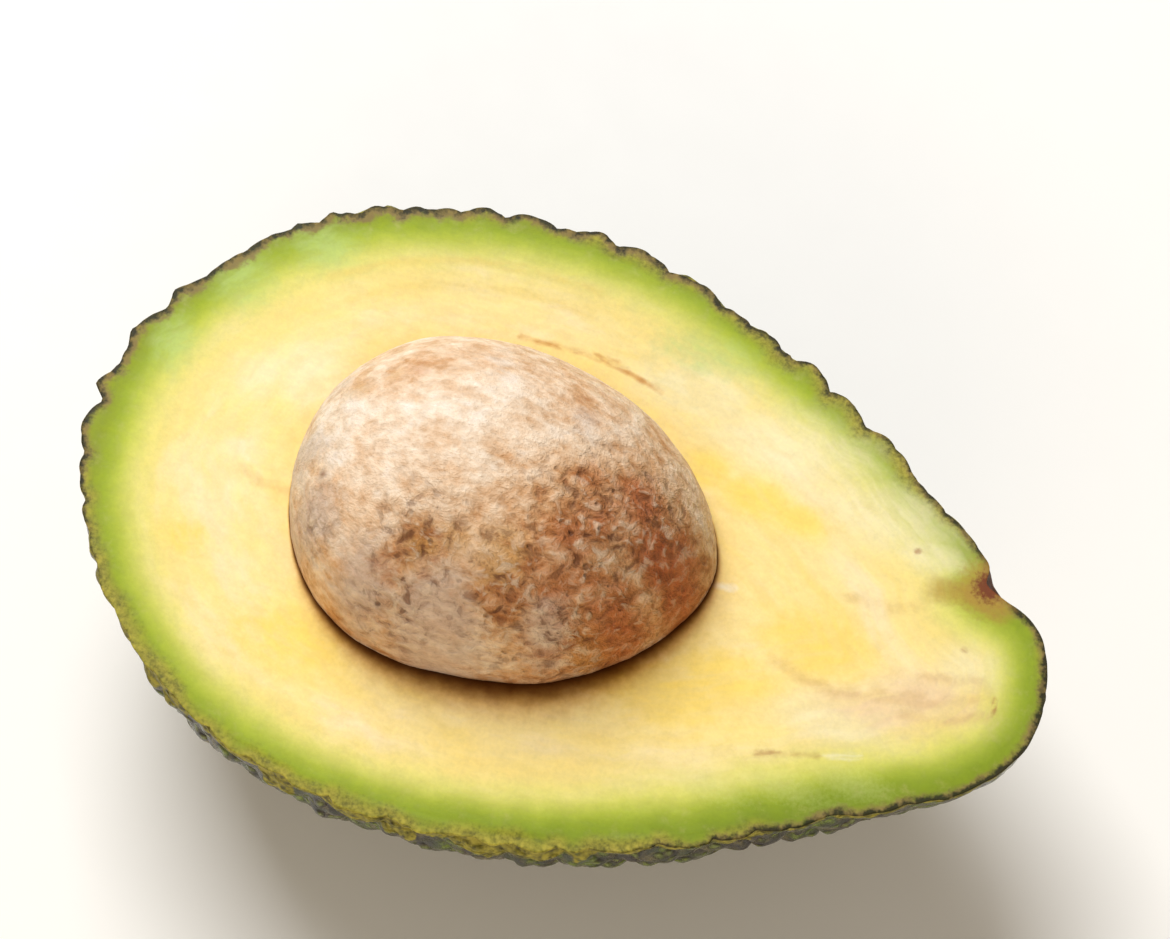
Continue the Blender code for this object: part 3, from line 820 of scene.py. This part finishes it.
def makeSeedCoat():
    look = coatLook
    made, shader, add = newMaterial("drySeedCoat")
    place = add("Attribute coatPlace", {}, "Vector")
    masks = {}
    for name in ("Pale", "Russet", "Mauve", "Ochre", "Wrinkled", "Dots", "Warm", "Rim"):
        masks[name] = add("Attribute coat" + name, {}, "Fac")
    foldPlace = add("VectorMath MULTIPLY", {0: place, 1: (1.5, 1.1, 1.1)})
    # each noise: mm between its features, detail, roughness, distortion and place
    streak, patch, fine, fold = [
        add("TexNoise", {0: at, "Scale": 1 / size, "Detail": detail, "Roughness": rough, "Distortion": bend})
        for size, detail, rough, bend, at in (
            (look["streakSize"], 5, 0.62, 0.2, place), (look["patchSize"], 6, 0.65, 0.3, place),
            (look["fineSize"], 3, 0.7, 0, place), (look["foldSize"], 5, 0.58, 0.5, foldPlace))]
    # pits of uneven width in the wrinkled parts
    pits = add("TexVoronoi", {0: foldPlace, "Scale": 1 / look["pitSize"]})
    pitOwn = add("SeparateColor", {0: pits.node.outputs["Color"]})
    pitWide = add("MapRange", {0: pitOwn, "range": (0.45, 1, 0, 0.34)})
    pitDepth = add("Math SUBTRACT", {0: pitWide, 1: pits})
    pit = add("MapRange", {0: pitDepth, "range": (-0.02, 0.16, 0, 1)})
    pitHere = add("Math MULTIPLY", {0: pit, 1: masks["Wrinkled"]})
    # one value from dark to pale, shifted by each mask
    value = add("Math MULTIPLY_ADD", {0: streak, 1: 0.6, 2: patch})
    value = add("Math MULTIPLY_ADD", {0: value, 1: 0.43, 2: 0.2})
    # the Warm mask darkens the coat towards its pointed end and the side away from the light: partly its own
    # tone, partly painted shade
    for name, shift in (("Russet", -0.14), ("Pale", 0.11), ("Warm", -0.07), ("Ochre", -0.03)):
        value = add("Math MULTIPLY_ADD", {0: masks[name], 1: shift, 2: value})
    colour = add("ValToRGB", {0: value, "stops": look["tones"]})
    # each tone: its mask, the noise that breaks it, from and to, strength
    tones = [
        ("Ochre", streak, 0.85, 1.2, 0.6, "ochre"),
        ("Mauve", patch, 0.75, 1.1, 0.6, "mauve"),
        ("Rim", streak, 0.6, 1.3, 0.7, "mauve"),
        ("Russet", streak, 0.94, 1.36, 0.5, "rust"),
        ("Dots", streak, 0.7, 1.3, 0.85, "dot"),
    ]
    for name, breaker, start, end, strength, tone in tones:
        both = add("Math ADD", {0: masks[name], 1: breaker})
        mask = add("MapRange", {0: both, "range": (start, end, 0, strength)})
        colour = add("Mix", {0: mask, 6: colour, 7: look[tone]})
    # where the coat is wrinkled, painted shade darkens its creases and a painted highlight keeps its ridges
    # pale
    for ends, tone in (((0.475, 0.37, 0, 0.85), "paintedCreaseShade"), ((0.53, 0.63, 0, 0.6), "paintedRidgeHighlight")):
        span = add("MapRange", {0: fold, "range": ends})
        mask = add("Math MULTIPLY", {0: span, 1: masks["Wrinkled"]})
        colour = add("Mix", {0: mask, 6: colour, 7: look[tone]})
    # painted shade in the pits
    pitted = add("Math MULTIPLY", {0: pitHere, 1: 0.6})
    colour = add("Mix", {0: pitted, 6: colour, 7: look["paintedCreaseShade"]})
    # fine light and dark along the streaks
    fineSum = add("Math ADD", {0: fine, 1: streak})
    fineShade = add("MapRange", {0: fineSum, "range": (0.75, 1.25, 0.86, 1.1)})
    shaded = add("VectorMath SCALE", {0: colour, "Scale": fineShade})
    rough = add("MapRange", {0: fold, "range": (0.3, 0.7, *look["roughness"])})
    heights = add("Math MULTIPLY_ADD", {0: fineSum, 1: 0.8, 2: patch})
    ridgeShare = add("Math MULTIPLY_ADD", {0: masks["Wrinkled"], 1: 5.0, 2: 0.5})
    heights = add("Math MULTIPLY_ADD", {0: fold, 1: ridgeShare, 2: heights})
    heights = add("Math MULTIPLY_ADD", {0: pitHere, 1: -1.2, 2: heights})
    bump = add("Bump", {"Height": heights, "Distance": look["bump"] * mm})
    fillNode(shader, {"Base Color": shaded, "Roughness": rough, "Normal": bump, "IOR": 1.45,
                      "Specular IOR Level": 0.4})
    return made


def makeSeed():
    look = seedLook
    seed = addPiece(dividedCube(look["rows"], False), "seedInHollow", [makeSeedCoat()], "seed")
    mesh = seed.data
    directions = cubeDirections(meshArray(mesh.vertices), seedRadius)
    points = roundForm(directions, seedRadius)
    points[:, 2] *= np.where(points[:, 2] > 0, look["rise"], look["sink"])
    setMeshPoints(mesh, points)
    normals = meshArray(mesh.vertex_normals, "vector")
    # the coat's own map runs along the seed's meridians, so that streaks follow them
    tilt = np.arccos(np.clip(directions[:, 0], -1, 1))
    across = np.maximum(np.hypot(directions[:, 1], directions[:, 2]), tiny)
    lengthwise, around, taper = look["coatSpan"]
    reach = around * np.sin(tilt) ** taper / across
    coatPlace = np.stack([tilt * lengthwise, directions[:, 1] * reach, directions[:, 2] * reach], axis=1)
    flatX, flatY = (points + seedMiddle)[:, :2].T / mm
    high = points[:, 2] / mm
    masks = {}
    for name in ("pale", "russet", "ochre", "mauve", "wrinkled", "dots"):
        mask = np.zeros(len(points))
        for x, y, size, strength in look[name]:
            mask = np.maximum(mask, strength * np.exp(-((np.hypot(flatX - x, flatY - y) / size) ** 2)))
        masks[name] = mask * smooth(high, *look["marksFade"])
    # darker towards the pointed end and the side away from the light: partly the coat's own tone, partly
    # painted shade
    wayX, wayY, start, end = look["warmWay"]
    masks["warm"] = smooth(flatX * wayX + flatY * wayY, start, end)
    slope, start, end = look["rimSide"]
    masks["rim"] = smooth(high, *look["rimBand"]) * smooth(flatY + slope * flatX, start, end)
    deep, long = look["dents"]
    dents = noiseAt(points, long, 2) * deep
    smoothDeep, wrinkledDeep, apart = look["wrinkles"]
    depth = smoothDeep + (wrinkledDeep - smoothDeep) * masks["wrinkled"]
    wrinkles = noiseAt(coatPlace * mm, apart, 4) * depth
    setMeshPoints(mesh, points + normals * ((dents + wrinkles) * mm)[:, None] + seedMiddle)
    for name, mask in masks.items():
        addAttribute(mesh, "coat" + name.capitalize(), mask)
    addAttribute(mesh, "coatPlace", coatPlace)
    print("seed made", len(mesh.polygons), "faces")


def makeFlesh(rimPoints):
    look = fleshShape
    columns = look["columns"]
    # columns at even steps along the outline
    outerRadius = polarRadius(planeCurve(peelLook["edgeWidth"]))
    angles = np.linspace(0, math.tau, 4001)
    ring = waysAt(angles) * outerRadius(angles)[:, None]
    total = np.concatenate([[0], np.cumsum(np.linalg.norm(np.diff(ring, axis=0), axis=1))])
    turn = np.interp(np.arange(columns) / columns, total / total[-1], angles)
    outer = waysAt(turn) * outerRadius(turn)[:, None]
    # round the seed they start where the ray to the tip leaves it, and keep pace with the outline's
    aim = np.unwrap(np.arctan2(outer[:, 1] - seedMiddle[1], outer[:, 0] - seedMiddle[0]))
    seedTurn = 0.5 * aim + 0.5 * (np.linspace(0, math.tau, columns, endpoint=False) + aim[0])
    seedWay = waysAt(seedTurn)
    clear, lipSize, lipDepth = look["lip"]
    seedReach = seedRadius(seedTurn) + clear * mm
    lipSize = (lipSize + look["openSide"][0] * openShareAt(seedTurn)) * mm
    # from the bottom of the hollow, over its lip and the cut face to the underside
    lattice = []
    for j in range(look["hollowRings"] + 1):
        down = math.radians(90 * (1 - j / look["hollowRings"]))
        bowl = seedWay * math.cos(down) * seedReach[:, None]
        bowl[:, 2] = -math.sin(down) * seedLook["halfWidth"] * mm * seedLook["sink"] - lipSize * lipDepth
        lattice.append(bowl + seedMiddle)
    lattice[0][:] = lattice[0].mean(axis=0)
    for j in range(1, look["lipRings"] + 1):
        bow = j / look["lipRings"] * math.pi / 2
        lip = seedWay * (seedReach + lipSize * (1 - math.cos(bow)))[:, None] + seedMiddle
        lip[:, 2] = -lipSize * lipDepth * (1 - math.sin(bow))
        lattice.append(lip)
    inner = lattice[-1]
    faceStart = len(lattice) - 1
    for j in range(1, look["faceRings"] + 1):
        lattice.append(inner + (outer - inner) * j / look["faceRings"])
    faceEnd = len(lattice)
    underIn, underDown = look["underEdge"]
    under = outer + outer / np.linalg.norm(outer, axis=1)[:, None] * underIn * mm
    under[:, 2] = -underDown * mm
    lattice.append(under)
    sideGap, groundGap = look["inPeel"]
    for j in range(1, look["sideRings"] + 1):
        down = math.radians(90 * j / look["sideRings"])
        ways = waysAt(turn) * math.cos(down)
        ways[:, 2] = -math.sin(down)
        side = roundForm(ways, fruitRadius)
        reach = np.linalg.norm(side, axis=1)
        side = side * ((reach - (peelLook["edgeWidth"] + sideGap) * mm) / reach)[:, None]
        side[:, 2] = np.maximum(side[:, 2], groundGap * mm - cutHeight)
        lattice.append(side)
    lattice[-1][:] = lattice[-1].mean(axis=0)
    rows = len(lattice)

    # a flat grid takes the lattice's places and is joined along its seam
    form = bmesh.new()
    bmesh.ops.create_grid(form, x_segments=columns, y_segments=rows - 1, size=1)
    form.verts.ensure_lookup_table()
    flat = np.array([v.co for v in form.verts])
    col = np.rint((flat[:, 0] + 1) / 2 * columns).astype(int) % columns
    row = np.rint((flat[:, 1] + 1) / 2 * (rows - 1)).astype(int)
    points = np.array(lattice)[row, col]
    # waves and knife marks, which ease off at the edge and at the lip
    onFace = (row > faceStart) & (row < faceEnd)
    waveHigh, waveLong = look["waves"]
    knifeDeep, knifeApart, knifeLong, knifeHigh = look["knife"]
    relief = np.zeros(len(points))
    relief[onFace] = noiseAt(points[onFace], waveLong, 2) * waveHigh
    relief[onFace] += noiseAt(points[onFace], (knifeLong, knifeApart, knifeHigh), 3) * knifeDeep
    edgeEase = smooth((faceEnd - 1 - row) / look["faceRings"], 0, look["easeShares"][0])
    lipEase = smooth((row - faceStart) / look["faceRings"], 0, look["easeShares"][1])
    points[:, 2] += relief * edgeEase * lipEase * mm
    for v, point in zip(form.verts, points):
        v.co = point
    bmesh.ops.remove_doubles(form, verts=form.verts[:], dist=touching)
    bmesh.ops.recalc_face_normals(form, faces=form.faces[:])
    flesh = addPiece(form, "avocadoFlesh", [makeCutMaterial("ripeAvocadoFlesh")], "flesh")
    markCutFace(flesh, rimPoints)
    print("flesh made", len(flesh.data.polygons), "faces")


rimPoints = makePeel()
makeSeed()
makeFlesh(rimPoints)

# azimuths count from the front, -Y, towards +X
stageLook = {
    "floorTone": "#FAFAF8",
    "floorRadius": 2.5,   # m, as all lengths of the stage but the aim
    "floorGrain": 900,    # grains across the floor, one in 6 mm
    "lights": {
        "keySoftbox": {
            "power": 14.6, "size": 0.7, "away": 1.2, "azimuth": 216, "height": 52, "tone": "#FFFFFF"},
        "fillSoftbox": {
            "power": 2.9, "size": 0.6, "away": 0.8, "azimuth": 5, "height": 20, "tone": "#FFEACF"},
    },
    "lightsAim": (0, 0, 0.03),
    "world": 0.26,
    "worldTone": "#FFF4E4",
    "aim": (14, 8.5),     # mm from the middle of the fat end, in the plane of the cut: the camera looks here
    "azimuth": 18,
    "elevation": 70,
    "distance": 0.42,
    "lens": 130,
}


def makeFloor():
    look = stageLook
    made, shader, add = newMaterial("palePaintedBoard")
    grain = add("TexNoise", {"Scale": look["floorGrain"], "Detail": 2})
    rough = add("MapRange", {0: grain, "range": (0, 1, 0.55, 0.7)})
    fillNode(shader, {"Base Color": look["floorTone"], "Roughness": rough})
    form = bmesh.new()
    bmesh.ops.create_circle(form, cap_ends=True, segments=96, radius=look["floorRadius"])
    mesh = meshOf(form, "paleFloor")
    mesh.materials.append(made)
    floor = addObject("paleFloor", mesh)


def placeLooking(name, data, aim, azimuth, elevation, away):
    # a light or camera that looks at the aim from the given side
    a, e = math.radians(azimuth), math.radians(elevation)
    back = Vector((math.sin(a) * math.cos(e), -math.cos(a) * math.cos(e), math.sin(e)))
    made = addObject(name, data)
    made.location = aim + back * away
    made.rotation_euler = back.to_track_quat("Z", "Y").to_euler()
    return made


makeFloor()
for name, look in stageLook["lights"].items():
    light = bpy.data.lights.new(name, "AREA")
    light.energy = look["power"]
    light.color = toLinear(look["tone"])[:3]
    light.size = look["size"]
    placeLooking(name, light, Vector(stageLook["lightsAim"]), look["azimuth"], look["height"], look["away"])
scene = bpy.context.scene
scene.world = bpy.data.worlds.new("softStudio")
scene.world.use_nodes = True
background = scene.world.node_tree.nodes["Background"]
fillNode(background, {"Color": stageLook["worldTone"], "Strength": stageLook["world"]})
scene.view_settings.view_transform = "Standard"

lens = bpy.data.cameras.new("camera")
lens.lens = stageLook["lens"]
lens.clip_start = 0.01
lens.clip_end = 10
aim = fruitPlace + Vector((*stageLook["aim"], 0)) * mm
placing = [stageLook[name] for name in ("azimuth", "elevation", "distance")]
scene.camera = placeLooking("camera", lens, aim, *placing)
print("stage made")
